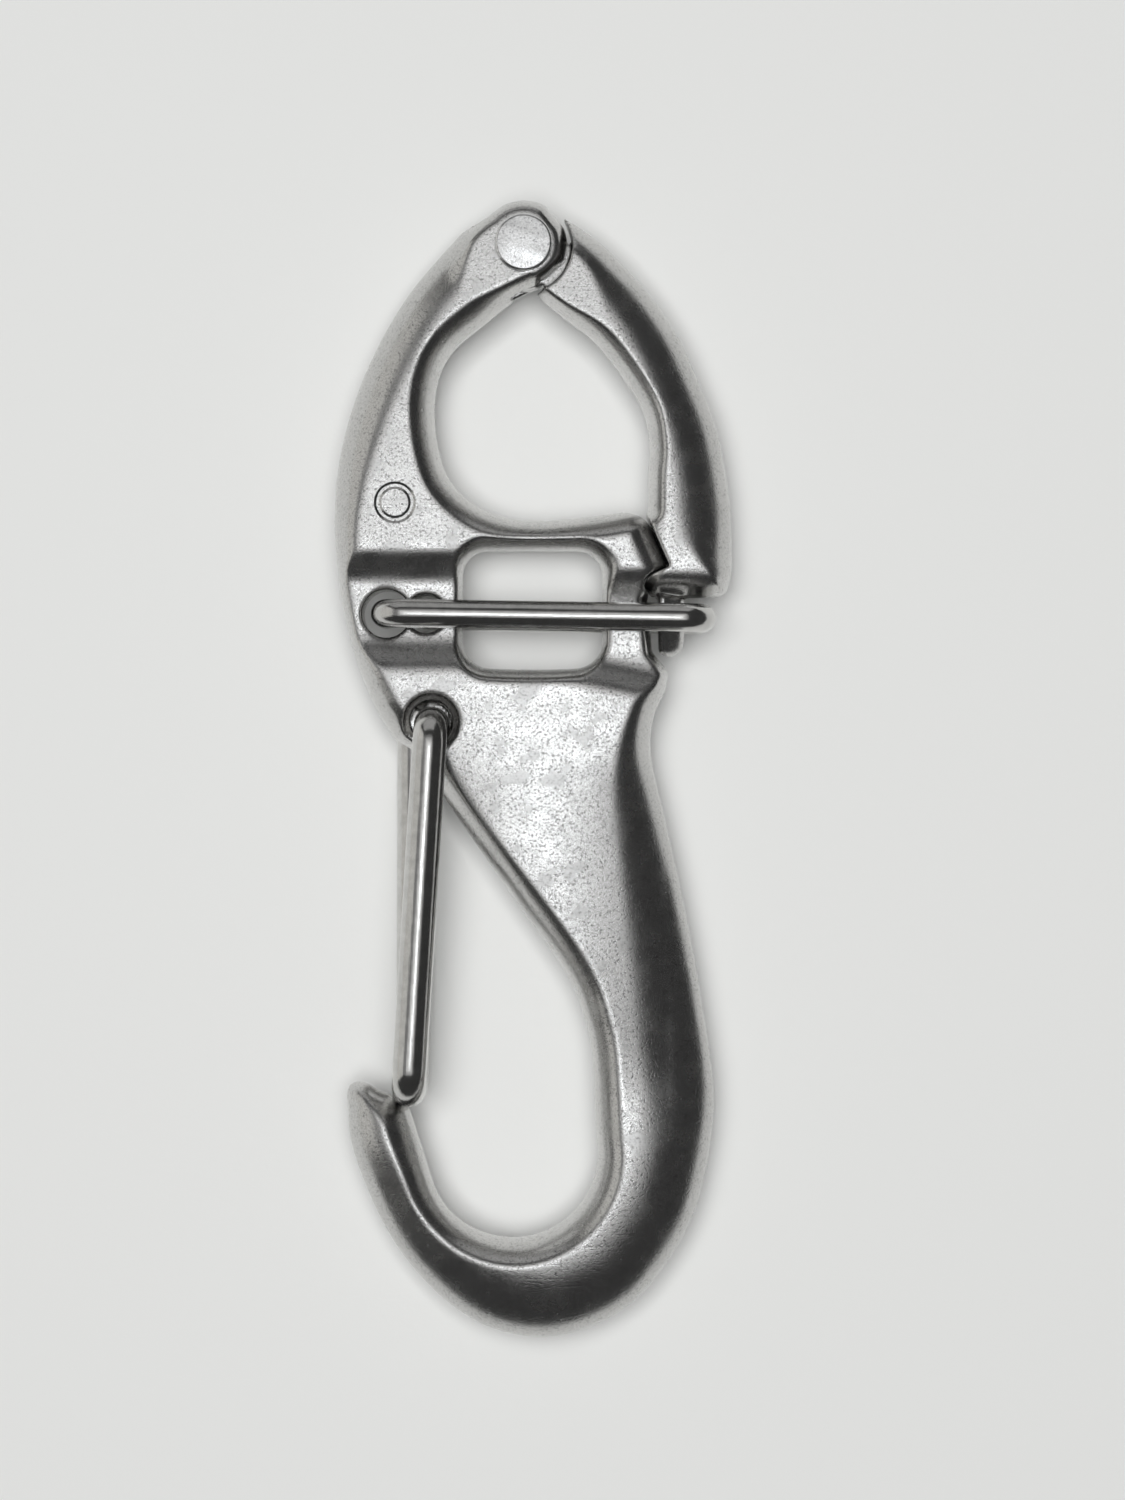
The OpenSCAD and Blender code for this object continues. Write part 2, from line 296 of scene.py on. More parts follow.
def skin(field, axes, cell):
    """The surface where a gridded field is zero. Each cell that it passes through gets one vertex, the mean
    of the places where the cell's edges cross zero, and each crossed edge gets the face of its four cells.
    The vertices are then moved along the field's slope onto zero. Returns vertices, faces and normals."""
    inside = field < 0
    shape = np.array(field.shape) - 1
    total = np.zeros(tuple(shape) + (3,))
    count = np.zeros(tuple(shape))
    crossed = []
    for axis in range(3):
        lower = [slice(None)] * 3
        upper = [slice(None)] * 3
        lower[axis], upper[axis] = slice(None, -1), slice(1, None)
        v0, v1 = field[tuple(lower)], field[tuple(upper)]
        change = inside[tuple(lower)] != inside[tuple(upper)]
        share = np.where(change, v0 / np.where(change, v0 - v1, 1), 0)
        crossed.append(change)
        others = [a for a in range(3) if a != axis]
        for corner in np.ndindex(2, 2):
            pick = [slice(None)] * 3
            for other, side in zip(others, corner):
                pick[other] = slice(side, side + shape[other])
            hit = change[tuple(pick)]
            total[..., axis] += np.where(hit, share[tuple(pick)], 0)
            for other, side in zip(others, corner):
                total[..., other] += hit * side
            count += hit
    active = count > 0
    number = np.full(tuple(shape), -1)
    number[active] = np.arange(active.sum())
    places = np.argwhere(active) + total[active] / count[active][:, None]
    faces = []
    for axis in range(3):
        second, third = (axis + 1) % 3, (axis + 2) % 3
        edge = np.argwhere(crossed[axis])
        far = np.array(field.shape) - 1
        edge = edge[(edge[:, second] > 0) & (edge[:, third] > 0)
                    & (edge[:, second] < far[second]) & (edge[:, third] < far[third])]
        corners = []
        for s, t in ((1, 1), (0, 1), (0, 0), (1, 0)):
            step = np.zeros(3, int)
            step[second], step[third] = s, t
            corners.append(number[tuple((edge - step).T)])
        quads = np.column_stack(corners)
        outward = inside[tuple(edge.T)]
        faces.append(np.where(outward[:, None], quads, quads[:, ::-1]))
    slope = np.stack(np.gradient(field, cell), axis=-1)
    for _ in range(3):
        value = sample(field, places)
        along = sample(slope, places)
        places = places - (value / np.maximum((along**2).sum(1), 0.2))[:, None] * along / cell
    along = sample(slope, places)
    normals = along / np.maximum(np.linalg.norm(along, axis=1), 1e-9)[:, None]
    low = np.array([axes[0].flat[0], axes[1].flat[0], axes[2].flat[0]])
    return low + places * cell, np.vstack(faces), normals


# ---------------------------------------------------------------------------------------------
# Meshes
# ---------------------------------------------------------------------------------------------
def piece(name, vertices, faces, normals=None):
    """A smooth-shaded object of a mesh given in millimetres from the latch line."""
    mesh = bpy.data.meshes.new(name)
    corners = faces if isinstance(faces, list) else faces.tolist()
    mesh.from_pydata((vertices * MM + LATCH).tolist(), [], corners)
    mesh.validate()
    mesh.shade_smooth()
    if normals is not None:
        mesh.normals_split_custom_set_from_vertices(normals.tolist())
    obj = bpy.data.objects.new(name, mesh)
    bpy.context.scene.collection.objects.link(obj)
    return obj


def body():
    """The forging: its outer edge, the bow opening, the hook opening and the window each have their own
    rounding, and the bands, holes, cups, fork and notch are cut out of that."""
    cell = BODY_CELL
    x, y, z = axes = grid(BODY_LOW, BODY_HIGH, cell)
    flat = np.zeros((x.size, y.size))
    fx, fy = x[:, :, 0] + flat, y[:, :, 0] + flat
    layer = 0 * x + 0 * y
    off_pivot = smooth_step(np.hypot(fx - PIVOT[0], fy - PIVOT[1]), 4, 9)
    off_nose = smooth_step(np.hypot(fx - NOSE[0], fy - NOSE[1] - 1), 3, 8)
    from_tip = np.hypot(fx - TIP_PLACE[0], fy - TIP_PLACE[1])
    off_tip = smooth_step(from_tip, 4, 18)
    outer = by_height(fy, [
        (-80, 8.4), (-56, 8.3), (-42, 7.6), (-30, 6.6), (-20, 5.2), (-12, 3.2), (-4, 2.3), (8, 2.7),
        (20, 4.6), (32, 4.9), (46, 4.4)
    ])
    outer = 1.7 + (outer - 1.7) * off_pivot
    outer = 3.3 + (outer - 3.3) * off_nose
    outer = 4.3 + (outer - 4.3) * off_tip
    hook = 3.1 - 0.4 * off_tip
    bow = 1.5 + 1.1 * off_pivot
    thin_tip = 0.8 * (1 - smooth_step(from_tip, 2, 22))
    on_shank = smooth_step(-fy, 11, 20) * (1 - smooth_step(-fy, 44, 58))
    crown = 0.55 * on_shank * (np.clip(fx, -11, 14) / 10)**2
    half = HALF_T - thin_tip - crown
    edges = [
        (edge_distance(fx, fy, body_envelope()), outer, 2.0),
        (-edge_distance(fx, fy, bow_opening()), bow, 1.6),
        (-edge_distance(fx, fy, hook_opening()), hook, 1.5),
        (window_distance(fx, fy), 2.3 - 0.8 * off_nose, 1.9),
    ]
    field = forged(z, half[:, :, None], [(d[:, :, None], w[:, :, None], p) for d, w, p in edges], cell)
    field = cut(field, bail_band(x, y, np.abs(z)), 0.3)
    field = cut(field, -edge_distance(fx, fy, arm_side())[:, :, None] + 0 * z, 0.1)
    field = cut(field, cylinder(x, y, (BAIL_LEFT + 0.1, 0), BAIL_R + 1.05) + 0 * z, 0.25)
    field = cut(field, cylinder(x, y, (BAIL_LEFT + BAIL_PITCH, 0), BAIL_R + 0.55) + 0 * z, 0.25)
    for side in (1, -1):
        turn = math.radians(joints["gate_swing"]["range_deg"][1] / 2)
        leg = GATE_AXIS + side * GATE_PITCH / 2 * np.array([math.cos(turn), math.sin(turn)])
        hole = both(cylinder(x, y, leg, GATE_R + 0.45) + 0 * z, layer - side * z - 0.1, 0.05)
        cup = both(cylinder(x, y, leg, GATE_R + 1.1) + 0 * z, layer + HALF_T - 1.6 - side * z, 0.3)
        field = cut(field, either(hole, cup, 0.1), 0.3)
    field = cut(field, cylinder(x, y, NOTCH, GATE_R + 0.25) + 0 * z, 0.4)
    fork = both(cylinder(x, y, PIVOT, EAR_R + 0.4) + 0 * z, layer + np.abs(z) - TANG_T / 2 - 0.12, 0.1)
    field = cut(field, fork, 0.15)
    field = cut(field, cylinder(x, y, PIVOT, RIVET_R + 0.03) + 0 * z, 0.1)
    return piece("forged_body", *skin(field, axes, cell))


def window_distance(x, y):
    """Distance outside the rounded window, whose lower side sags a little in the middle."""
    middle, half, corner = (-0.1, 0.6), (7.4, 6.1), 2.7
    sag = 0.35 - 0.35 * np.clip((x - middle[0]) / half[0], -1, 1)**2
    qx = np.abs(x - middle[0]) - half[0] + corner
    qy = np.abs(y - middle[1] + np.where(y < middle[1], sag, 0)) - half[1] + corner
    return np.hypot(np.maximum(qx, 0), np.maximum(qy, 0)) + np.minimum(np.maximum(qx, qy), 0) - corner


def bail_band(x, y, height):
    """The space cut in a face for the bail: above a floor, below a sloped upper wall, and above a sloped
    lower wall that falls away to the right along the line that the bail is pressed down to."""
    depth, run = HALF_T - BAIL_FLOOR, 2.9
    slant = math.hypot(depth, run)
    pressed = -math.radians(joints["bail_press"]["range_deg"][0])
    low_y = np.minimum(-2.9, -math.tan(pressed) * (x - BAIL_AXIS[0]) - 0.5)
    high_y = 3.6 - 1.9 * smooth_step(x, 6.9, 8.9)
    upper = ((y - high_y) * depth - (height - BAIL_FLOOR) * run) / slant
    lower = ((low_y - y) * depth - (height - BAIL_FLOOR) * run) / slant
    return both(both(upper, lower, 0.3), BAIL_FLOOR - height, 0.4)


def opening_arm():
    """The arm: its outer edge and the bow opening have their own rounding, and it is cut plainly where it
    meets the body and the ear. The tang inside the fork and the tongue inside the bail are added."""
    cell = ARM_CELL
    low, high = (from_latch(corner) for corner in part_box("opening_arm"))
    x, y, z = axes = grid(low, high, cell)
    flat = np.zeros((x.size, y.size))
    fx, fy = x[:, :, 0] + flat, y[:, :, 0] + flat
    layer = 0 * x + 0 * y
    off_pivot = smooth_step(np.hypot(fx - PIVOT[0], fy - PIVOT[1]), 5, 12)
    envelope = np.vstack([curve(ARM_OUTER), curve(ARM_BOTTOM, 4), [(8.5, 3), (8, 12), (-1, 30), (-3, 40)]])
    inner = np.vstack([curve(ARM_INNER), [(-9, 30), (-9, 12), (9, 10)]])
    outer = by_height(fy, [(0, 2.0), (4, 3.0), (9, 6.0), (16, 6.0), (30, 5.6), (38, 4.4), (46, 3.6)])
    outer = 3.2 + (outer - 3.2) * off_pivot
    along_inner = 0.9 + 0.9 * smooth_step(np.hypot(fx - PIVOT[0], fy - PIVOT[1]), 5.5, 14)
    edges = [
        (edge_distance(fx, fy, envelope), outer, 2.0),
        (-edge_distance(fx, fy, inner), along_inner, 1.6),
    ]
    field = forged(z, HALF_T, [(d[:, :, None], w[:, :, None], p) for d, w, p in edges], cell)
    keep = np.where(fy < 12.5, -edge_distance(fx - 0.13, fy + 0.06, arm_side()), -3.0)
    field = both(field, keep[:, :, None] + 0 * z, 0.12)
    field = cut(field, cylinder(x, y, PIVOT, SHOULDER_R) + 0 * z, 0.15)
    wedge = edge_distance(fx, fy, np.vstack([[PIVOT], arc(PIVOT, EAR_R + 1.4, -64, 4, 8)]))
    disc = np.minimum(cylinder(fx, fy, PIVOT, SHOULDER_R - 0.6), -wedge)
    field = either(field, both(disc[:, :, None] + 0 * z, layer + np.abs(z) - TANG_T / 2, 0.3), 0.3)
    outline = curve([
        (13.2, 3.2), (13.2, -3.3), (13.6, -4.2), (14.3, -4.5), (15.3, -4.2), (15.9, -2.9), (15.9, 3.2)], 5)
    taper = 0.5 * np.maximum(-1.6 - y, 0) + 0.45 * np.maximum(x - 13.4, 0)
    beside = -edge_distance(fx, fy, outline)[:, :, None] + 0 * z
    tongue = both(beside, layer + np.abs(z) - TONGUE_T / 2 + taper, 0.9)
    field = either(field, tongue, 0.6)
    field = cut(field, cylinder(x, y, PIVOT, RIVET_R + 0.06) + 0 * z, 0.2)
    return piece("forged_arm", *skin(field, axes, cell))


def tube(name, path, radius, sides=48):
    """A round wire: circles of equal angles carried along a path. The first and last circles shrink as a
    quarter ellipse, so that the cut ends are rounded, and each end closes in one small face."""
    path = np.asarray(path, float)
    tangent = np.gradient(path, axis=0)
    tangent /= np.linalg.norm(tangent, axis=1)[:, None]
    run = path[len(path) // 3] - path[0]
    across = np.array([-run[1], run[0], 0]) / np.hypot(run[0], run[1])
    side = across - (tangent @ across)[:, None] * tangent
    side /= np.linalg.norm(side, axis=1)[:, None]
    other = np.cross(tangent, side)
    travelled = np.concatenate([[0], np.cumsum(np.linalg.norm(np.diff(path, axis=0), axis=1))])
    end = np.minimum(travelled, travelled[-1] - travelled)
    round_off = 0.35
    shrink = 1 - round_off / radius * (1 - np.sqrt(1 - np.clip(1 - end / round_off, 0, 1)**2))
    angle = np.linspace(0, 2 * math.pi, sides, endpoint=False)
    ring = np.cos(angle)[None, :, None] * side[:, None, :] + np.sin(angle)[None, :, None] * other[:, None, :]
    points = path[:, None, :] + radius * shrink[:, None, None] * ring
    rings = len(path)
    i = np.arange(rings - 1)[:, None] * sides
    j = np.arange(sides)[None, :]
    k = (j + 1) % sides
    quads = np.stack([i + j, i + k, i + sides + k, i + sides + j], axis=-1).reshape(-1, 4)
    caps = [np.arange(sides)[::-1].tolist(), (np.arange(sides) + (rings - 1) * sides).tolist()]
    return piece(name, points.reshape(-1, 3), quads.tolist() + caps)


def leg_bend(at, towards, height, bend, bottom):
    """Points of a wire's leg and the quarter bend at its top: up from bottom, then over towards a
    direction. The first few are close together, where the cut end is rounded."""
    straight = np.linspace(0.45, height - bend - bottom, 12)
    rise = bottom + np.concatenate([[0, 0.03, 0.09, 0.18, 0.26, 0.35], straight])
    leg = np.column_stack([np.full_like(rise, at[0]), np.full_like(rise, at[1]), rise])
    a = np.linspace(0, math.pi / 2, 17)[1:]
    out = bend * (1 - np.cos(a))
    turn = np.column_stack([
        at[0] + out * towards[0], at[1] + out * towards[1], height - bend + bend * np.sin(a)
    ])
    return np.vstack([leg, turn])


def wire_loop(name, near, far, end, height, radius, bend, bottom, steps=60):
    """A wire loop with one side over each face: leg, bend, straight side and bend on the near face, the end
    straight through the thickness, and the same back along the far face."""
    halves = []
    for start in (near, far):
        start, stop = np.asarray(start, float), np.asarray(end, float)
        run = stop - start
        length = np.hypot(*run)
        towards = run / length
        first = leg_bend(start, towards, height, bend, bottom)
        along = np.linspace(bend, length - bend, steps)[1:]
        side = np.column_stack([start[0] + along * towards[0], start[1] + along * towards[1],
                                np.full_like(along, height)])
        a = np.linspace(0, math.pi / 2, 17)[1:]
        out = length - bend + bend * np.sin(a)
        turn = np.column_stack([start[0] + out * towards[0], start[1] + out * towards[1],
                                height - bend + bend * np.cos(a)])
        halves.append(np.vstack([first, side, turn]))
    through = np.linspace(height - bend, bend - height, 16)[1:-1]
    middle = np.column_stack([np.full_like(through, end[0]), np.full_like(through, end[1]), through])
    back = halves[1] * (1, 1, -1)
    return tube(name, np.vstack([halves[0], middle, back[::-1]]), radius)


def revolve(name, profile, centre, sides=72, bumps=0.0):
    """A profile of (radius, height) turned about an upright axis. Its first and last points are on the axis.
    Shallow hammer marks are added to the height of both ends as a sum of two waves across the face."""
    profile = np.asarray(profile, float)
    a = np.linspace(0, 2 * math.pi, sides, endpoint=False)
    inner = profile[1:-1]
    x = centre[0] + inner[:, :1] * np.cos(a)
    y = centre[1] + inner[:, :1] * np.sin(a)
    z = inner[:, 1:] + 0 * a
    face = np.clip((np.abs(z) - np.abs(profile[0, 1]) + 0.8) / 0.8, 0, 1)
    wave = np.sin(1.9 * x + 0.8 * y) * np.cos(1.3 * y - 0.7 * x) + 0.6 * np.sin(3.3 * y + 1.1 * x)
    z = z - np.sign(z) * face * bumps * (wave + 1.6) / 2
    points = np.stack([x, y, z], axis=-1).reshape(-1, 3)
    tops = np.array([[*centre, profile[0, 1] - np.sign(profile[0, 1]) * bumps * 0.8],
                     [*centre, profile[-1, 1] - np.sign(profile[-1, 1]) * bumps * 0.8]])
    rings = len(inner)
    i = np.arange(rings - 1)[:, None] * sides
    j = np.arange(sides)[None, :]
    k = (j + 1) % sides
    quads = np.stack([i + j, i + sides + j, i + sides + k, i + k], axis=-1).reshape(-1, 4)
    first, last = len(points), len(points) + 1
    ring = np.arange(sides)
    start = np.column_stack([np.full(sides, first), ring, (ring + 1) % sides])
    base = (rings - 1) * sides
    stop = np.column_stack([np.full(sides, last), base + (ring + 1) % sides, base + ring])
    return piece(name, np.vstack([points, tops]), quads.tolist() + start.tolist() + stop.tolist())


def rivet():
    """The rivet: a shank between two low peened heads, almost flat on top, with a thin rounded rim."""
    head_r = (RIVET_HIGH[0] - RIVET_LOW[0]) / 2
    top, seat = RIVET_HIGH[2] - 0.02, HALF_T + 0.02
    fall, rim = 0.12, 0.3
    r = np.linspace(0, 1, 22)
    crown = top - fall * r**2
    a = np.linspace(0, math.pi / 2, 9)[1:]
    upper = np.vstack([
        np.column_stack([r * (head_r - rim), crown]),
        np.column_stack([head_r - rim + rim * np.sin(a), crown[-1] - rim + rim * np.cos(a)]),
        [(head_r - 0.12, seat), (RIVET_R + 0.02, seat), (RIVET_R, seat - 0.1)]
    ])
    lower = upper[::-1] * (1, -1)
    return revolve("peened_rivet", np.vstack([upper, lower]), PIVOT, bumps=0.025)


# ---------------------------------------------------------------------------------------------
# Finishes
# ---------------------------------------------------------------------------------------------
def socket(tree, name, direction, kind="NodeSocketFloat", value=None):
    """A named socket on a node group."""
    made = tree.interface.new_socket(name=name, in_out=direction, socket_type=kind)
    if value is not None:
        made.default_value = value
    return made


def math_node(tree, operation, a, b=None, c=None, clamp=False):
    """A Math node whose inputs are numbers or other nodes' outputs."""
    node = tree.nodes.new("ShaderNodeMath")
    node.operation = operation
    node.use_clamp = clamp
    for slot, value in zip(node.inputs, (a, b, c)):
        if value is None:
            continue
        if isinstance(value, (int, float)):
            slot.default_value = value
        else:
            tree.links.new(value, slot)
    return node.outputs[0]


def noise(tree, vector, scale, detail=3.0, roughness=0.55):
    """Fractal noise on object coordinates, in features per metre."""
    node = tree.nodes.new("ShaderNodeTexNoise")
    node.inputs["Scale"].default_value = scale
    node.inputs["Detail"].default_value = detail
    node.inputs["Roughness"].default_value = roughness
    tree.links.new(vector, node.inputs["Vector"])
    return node.outputs["Fac"]


def remap(tree, value, low, high, to_low, to_high):
    """A value carried from one range to another, held at the ends."""
    node = tree.nodes.new("ShaderNodeMapRange")
    for slot, number in zip(node.inputs[1:5], (low, high, to_low, to_high)):
        slot.default_value = number
    tree.links.new(value, node.inputs[0])
    return node.outputs[0]


def tumbled_grain():
    """Skin of a tumbled forging: pits, soft dents and hairline scratches, as a height and a shade."""
    tree = bpy.data.node_groups.new("tumbled_grain", "ShaderNodeTree")
    for name, value in (("Pits", 1.0), ("Dents", 1.0), ("Scratches", 1.0)):
        socket(tree, name, "INPUT", value=value)
    for name in ("Height", "Shade", "Gloss"):
        socket(tree, name, "OUTPUT")
    given = tree.nodes.new("NodeGroupInput")
    out = tree.nodes.new("NodeGroupOutput")
    place = tree.nodes.new("ShaderNodeTexCoord").outputs["Object"]
    pits = remap(tree, noise(tree, place, 3600, 2.0, 0.6), 0.26, 0.46, -1.0, 0.0)
    grain = noise(tree, place, 5200, 3.0, 0.7)
    dents = noise(tree, place, 420, 3.0, 0.5)
    stretch = tree.nodes.new("ShaderNodeMapping")
    stretch.inputs["Rotation"].default_value = (0.0, 0.0, 0.5)
    stretch.inputs["Scale"].default_value = (60.0, 1900.0, 1900.0)
    tree.links.new(place, stretch.inputs["Vector"])
    lines = remap(tree, noise(tree, stretch.outputs["Vector"], 1.0, 2.0, 0.6), 0.62, 0.72, 0.0, -1.0)
    height = math_node(tree, "MULTIPLY", pits, given.outputs["Pits"])
    patchy = remap(tree, noise(tree, place, 110, 2.0, 0.5), 0.38, 0.62, 0.35, 1.25)
    height = math_node(tree, "MULTIPLY_ADD", grain, patchy, height)
    height = math_node(tree, "ADD", height, math_node(tree, "MULTIPLY", dents, given.outputs["Dents"]))
    height = math_node(tree, "ADD", height, math_node(tree, "MULTIPLY", lines, given.outputs["Scratches"]))
    shade = math_node(tree, "MULTIPLY_ADD", pits, 0.4, 0.95)
    shade = math_node(tree, "MULTIPLY_ADD", math_node(tree, "SUBTRACT", grain, 0.5), 0.8, shade, clamp=True)
    gloss = remap(tree, dents, 0.3, 0.7, 0.0, 1.0)
    for name, value in (("Height", height), ("Shade", shade), ("Gloss", gloss)):
        tree.links.new(value, out.inputs[name])
    return tree


def drawn_lines():
    """Skin of drawn wire: long faint lines along one axis with a few dull patches, as a height and a
    shade."""
    tree = bpy.data.node_groups.new("drawn_lines", "ShaderNodeTree")
    socket(tree, "Along", "INPUT", "NodeSocketVector")
    for name in ("Height", "Shade"):
        socket(tree, name, "OUTPUT")
    given = tree.nodes.new("NodeGroupInput")
    out = tree.nodes.new("NodeGroupOutput")
    place = tree.nodes.new("ShaderNodeTexCoord").outputs["Object"]
    stretch = tree.nodes.new("ShaderNodeMapping")
    tree.links.new(place, stretch.inputs["Vector"])
    tree.links.new(given.outputs["Along"], stretch.inputs["Scale"])
    lines = noise(tree, stretch.outputs["Vector"], 1.0, 3.0, 0.6)
    patches = noise(tree, place, 900, 3.0, 0.6)
    tree.links.new(math_node(tree, "MULTIPLY_ADD", patches, 0.3, lines), out.inputs["Height"])
    tree.links.new(remap(tree, patches, 0.3, 0.7, 0.82, 1.0), out.inputs["Shade"])
    return tree


def finish_base(name, colour, roughness):
    """A bare metal material with its shader and output, its colour and its roughness set."""
    material = bpy.data.materials.new(name)
    material.use_nodes = True
    tree = material.node_tree
    shader = next(n for n in tree.nodes if n.type == "BSDF_PRINCIPLED")
    shader.inputs["Metallic"].default_value = 1.0
    shader.inputs["Base Color"].default_value = (*colour, 1.0)
    shader.inputs["Roughness"].default_value = roughness
    return material, tree, shader


def tinted(tree, shader, colour, shade):
    """Carries a colour, darkened by a shade, to the shader's base colour."""
    mix = tree.nodes.new("ShaderNodeMix")
    mix.data_type = "RGBA"
    mix.blend_type = "MULTIPLY"
    mix.inputs["Factor"].default_value = 1.0
    mix.inputs["A"].default_value = (*colour, 1.0)
    tree.links.new(shade, mix.inputs["B"])
    tree.links.new(mix.outputs["Result"], shader.inputs["Base Color"])


def bumped(tree, shader, height, distance, strength=1.0):
    """Carries a height, in units of distance metres, to the shader's normal."""
    bump = tree.nodes.new("ShaderNodeBump")
    bump.inputs["Strength"].default_value = strength
    bump.inputs["Distance"].default_value = distance
    tree.links.new(height, bump.inputs["Height"])
    tree.links.new(bump.outputs["Normal"], shader.inputs["Normal"])


def forged_steel(name, grain, stamp=None):
    """Tumbled stainless: satin, speckled with fine dark pits, with soft dents. stamp is the centre of a
    plain round inspection ring pressed into the face."""
    colour = (0.64, 0.635, 0.625)
    material, tree, shader = finish_base(name, colour, 0.3)
    skin_node = tree.nodes.new("ShaderNodeGroup")
    skin_node.node_tree = grain
    skin_node.inputs["Pits"].default_value = 1.0
    skin_node.inputs["Dents"].default_value = 1.2
    skin_node.inputs["Scratches"].default_value = 0.5
    height = skin_node.outputs["Height"]
    if stamp is not None:
        height = math_node(tree, "ADD", height, stamped_ring(tree, stamp))
    tinted(tree, shader, colour, skin_node.outputs["Shade"])
    bumped(tree, shader, height, 0.00001)
    rough = remap(tree, skin_node.outputs["Gloss"], 0.0, 1.0, 0.2, 0.3)
    tree.links.new(rough, shader.inputs["Roughness"])
    return material


def stamped_ring(tree, stamp):
    """Height of a shallow round groove: low where the distance from the stamp's centre is its radius."""
    place = tree.nodes.new("ShaderNodeTexCoord").outputs["Object"]
    apart = tree.nodes.new("ShaderNodeVectorMath")
    apart.operation = "DISTANCE"
    apart.inputs[1].default_value = tuple(np.array([*stamp, HALF_T]) * MM + LATCH)
    tree.links.new(place, apart.inputs[0])
    off = math_node(tree, "ABSOLUTE", math_node(tree, "SUBTRACT", apart.outputs["Value"], 0.0018))
    return remap(tree, off, 0.00014, 0.0004, -14.0, 0.0)


def spring_wire(name, lines, along):
    """Drawn polished wire with fine lines along it."""
    colour = (0.66, 0.655, 0.64)
    material, tree, shader = finish_base(name, colour, 0.16)
    skin_node = tree.nodes.new("ShaderNodeGroup")
    skin_node.node_tree = lines
    skin_node.inputs["Along"].default_value = along
    tinted(tree, shader, colour, skin_node.outputs["Shade"])
    bumped(tree, shader, skin_node.outputs["Height"], 0.000012)
    return material


def peened_steel(name, grain):
    """Bright hammered rivet head."""
    colour = (0.82, 0.82, 0.82)
    material, tree, shader = finish_base(name, colour, 0.26)
    skin_node = tree.nodes.new("ShaderNodeGroup")
    skin_node.node_tree = grain
    skin_node.inputs["Pits"].default_value = 0.5
    skin_node.inputs["Dents"].default_value = 3.0
    skin_node.inputs["Scratches"].default_value = 1.0
    tinted(tree, shader, colour, skin_node.outputs["Shade"])
    bumped(tree, shader, skin_node.outputs["Height"], 0.00001)
    return material


# ---------------------------------------------------------------------------------------------
# Floor, light and camera
# ---------------------------------------------------------------------------------------------
def floor():
    """A plain pale table top, wide enough to fill every view."""
    size = 3.0
    mesh = bpy.data.meshes.new("table_top")
    corners = [(-size, -size, 0), (size, -size, 0), (size, size, 0), (-size, size, 0)]
    mesh.from_pydata(corners, [], [(0, 1, 2, 3)])
    obj = bpy.data.objects.new("table_top", mesh)
    bpy.context.scene.collection.objects.link(obj)
    material = bpy.data.materials.new("pale_table")
    material.use_nodes = True
    tree = material.node_tree
    shader = next(n for n in tree.nodes if n.type == "BSDF_PRINCIPLED")
    shader.inputs["Base Color"].default_value = (0.86, 0.865, 0.85, 1.0)
    shader.inputs["Roughness"].default_value = 0.6
    place = tree.nodes.new("ShaderNodeTexCoord").outputs["Object"]
    bumped(tree, shader, noise(tree, place, 2500, 2.0), 0.00001)
    mesh.materials.append(material)


def panel(name, place, aim, width, height, radiance, colour=(1, 1, 1), on="all"):
    """A soft rectangular light of a given radiance at a place, turned to face a point. It lights matt
    surfaces only, is seen in polished ones only, or both."""
    data = bpy.data.lights.new(name, "AREA")
    data.shape = "RECTANGLE"
    data.size, data.size_y = width, height
    data.energy = math.pi * width * height * radiance
    data.color = colour
    obj = bpy.data.objects.new(name, data)
    obj.rotation_euler = Vector(np.array(aim) - np.array(place)).to_track_quat("-Z", "Y").to_euler()
    obj.location = place
    obj.visible_glossy = on != "matt"
    obj.visible_diffuse = on != "polished"
    bpy.context.scene.collection.objects.link(obj)


def room(strength):
    """A plain grey room."""
    world = bpy.data.worlds.new("room")
    world.use_nodes = True
    back = next(n for n in world.node_tree.nodes if n.type == "BACKGROUND")
    back.inputs["Color"].default_value = (1.0, 1.0, 1.0, 1.0)
    back.inputs["Strength"].default_value = strength
    bpy.context.scene.world = world


def camera():
    """A camera straight above the part, as far off as its slight perspective needs."""
    aim = np.array([3.07, -14.36, 0]) * MM + LATCH
    away, tall = 0.45, 0.159
    data = bpy.data.cameras.new("camera")
    data.sensor_width = 36.0
    data.lens = 36.0 * away / tall
    data.clip_start = 0.01
    obj = bpy.data.objects.new("camera", data)
    obj.location = (aim[0], aim[1], aim[2] + away)
    obj.rotation_euler = (0.0, 0.0, 0.0)
    bpy.context.scene.collection.objects.link(obj)
    bpy.context.scene.camera = obj


# ---------------------------------------------------------------------------------------------
# The shackle
# ---------------------------------------------------------------------------------------------
def take(obj, node, body_name, material):
    """The object stands for a CAD node, which is hidden, rides with its body and takes its finish."""
    obj.data.materials.append(material)
    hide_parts(node)
    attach(obj, body_name)


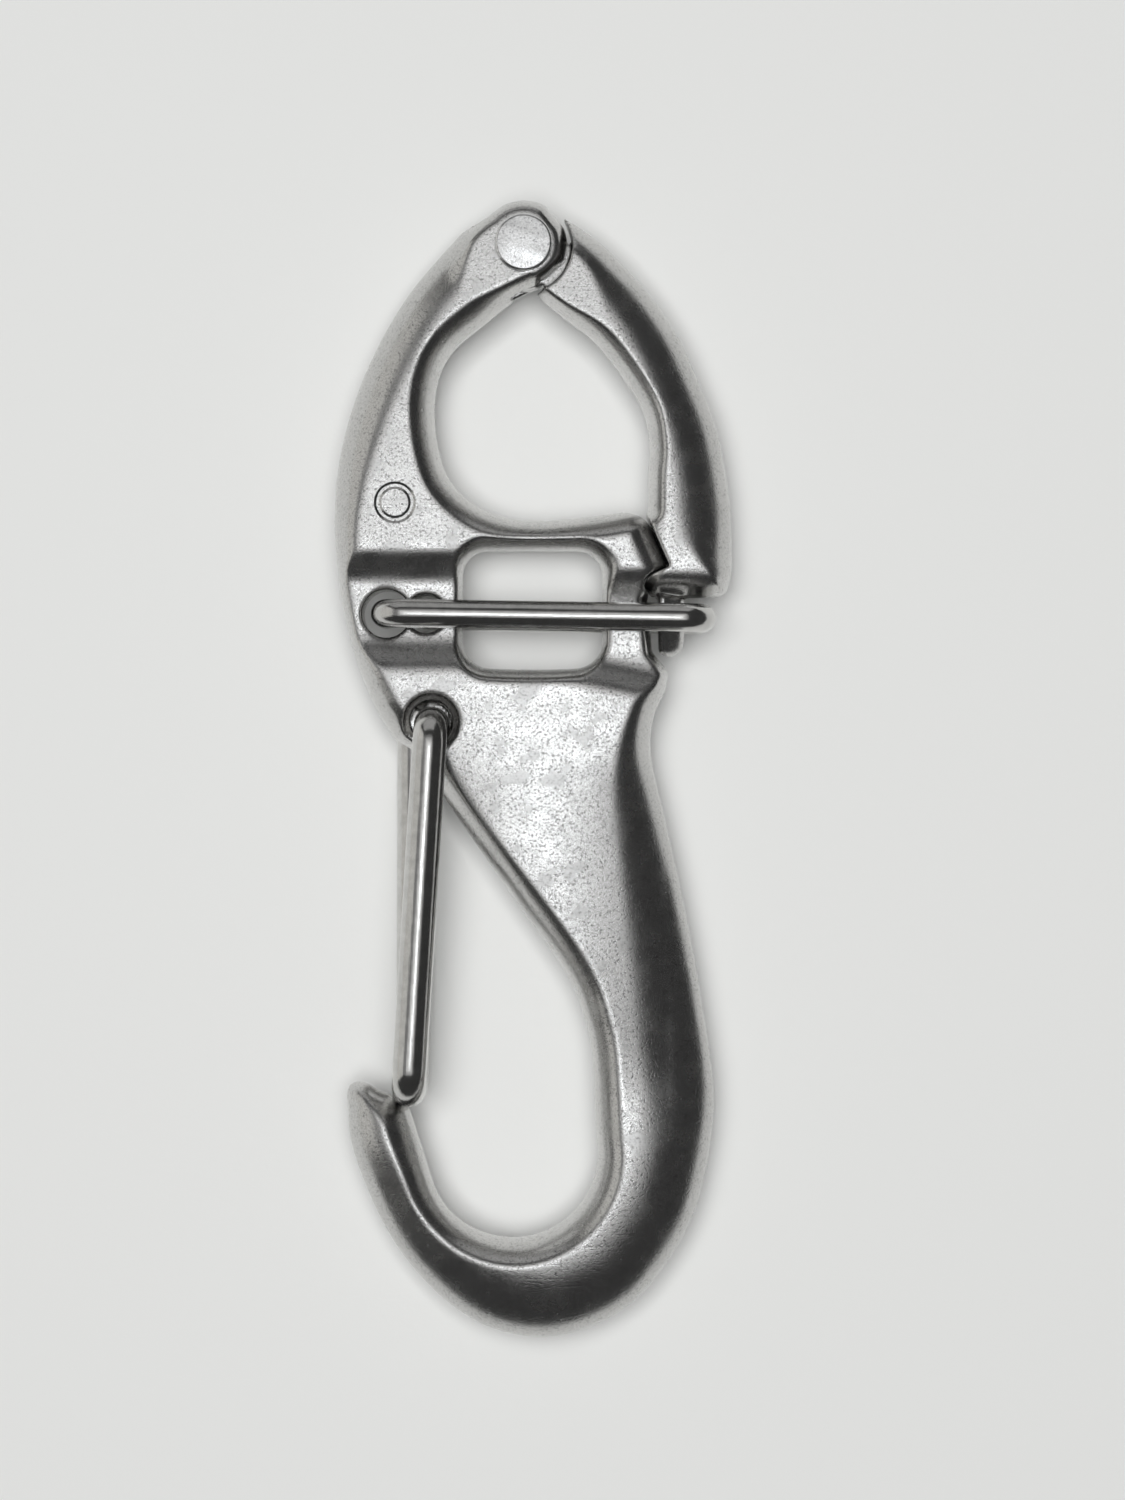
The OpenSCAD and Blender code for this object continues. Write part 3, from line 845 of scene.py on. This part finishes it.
camera()
floor()
room(0.045)
panel("table_light", (-0.04, 0.04, 1.0), (0, 0, 0), 0.42, 0.42, 15.6, on="matt")
panel("overhead_wide", (-0.3, 0.12, 0.92), (-0.3, 0.12, 0), 1.2, 1.0, 0.2, on="polished")
panel("overhead_middle", (-0.02, 0.05, 0.91), (-0.02, 0.05, 0), 0.8, 0.8, 0.26, on="polished")
panel("overhead_inner", (-0.05, 0.05, 0.9), (-0.05, 0.05, 0), 0.52, 0.52, 0.36, on="polished")
panel("overhead_core", (-0.02, 0, 0.89), (-0.02, 0, 0), 0.26, 0.32, 0.3, (0.95, 0.98, 1.0), on="polished")
panel("lamp", (0.01, -0.02, 0.88), (0.01, -0.02, 0), 0.05, 0.13, 6.0, (0.9, 0.95, 1.0), on="polished")
panel("left_panel", (-0.8, 0.16, 0.42), (0, 0.16, 0.42), 1.1, 0.84, 0.6, (1.0, 0.99, 0.95), on="polished")
panel("back_panel", (-0.1, 0.9, 0.4), (-0.1, 0, 0.4), 1.2, 0.7, 0.35, on="polished")
scene = bpy.context.scene
scene.view_settings.view_transform = "Standard"

grain = tumbled_grain()
lines = drawn_lines()
half_pitch = np.array([GATE_PITCH / 2, 0])
body_finish = forged_steel("tumbled_steel_body", grain, stamp=STAMP_PLACE)
take(body(), "body", "frame", body_finish)
take(opening_arm(), "opening_arm", "opening_arm", forged_steel("tumbled_steel_arm", grain))
take(rivet(), "pivot_rivet", "frame", peened_steel("peened_steel", grain))
bail = wire_loop(
    "latch_bail_wire", (BAIL_LEFT, 0), (BAIL_LEFT + BAIL_PITCH, 0), (BAIL_END, -BAIL_DROP),
    BAIL_Z, BAIL_R, BAIL_BEND, BAIL_LEG)
take(bail, "latch_bail", "latch_bail", spring_wire("bail_wire", lines, (120, 5000, 5000)))
gate = wire_loop(
    "hook_gate_wire", GATE_AXIS + half_pitch, GATE_AXIS - half_pitch, NOTCH,
    GATE_Z, GATE_R, GATE_BEND, GATE_LEG)
take(gate, "hook_gate", "hook_gate", spring_wire("gate_wire", lines, (5000, 120, 5000)))
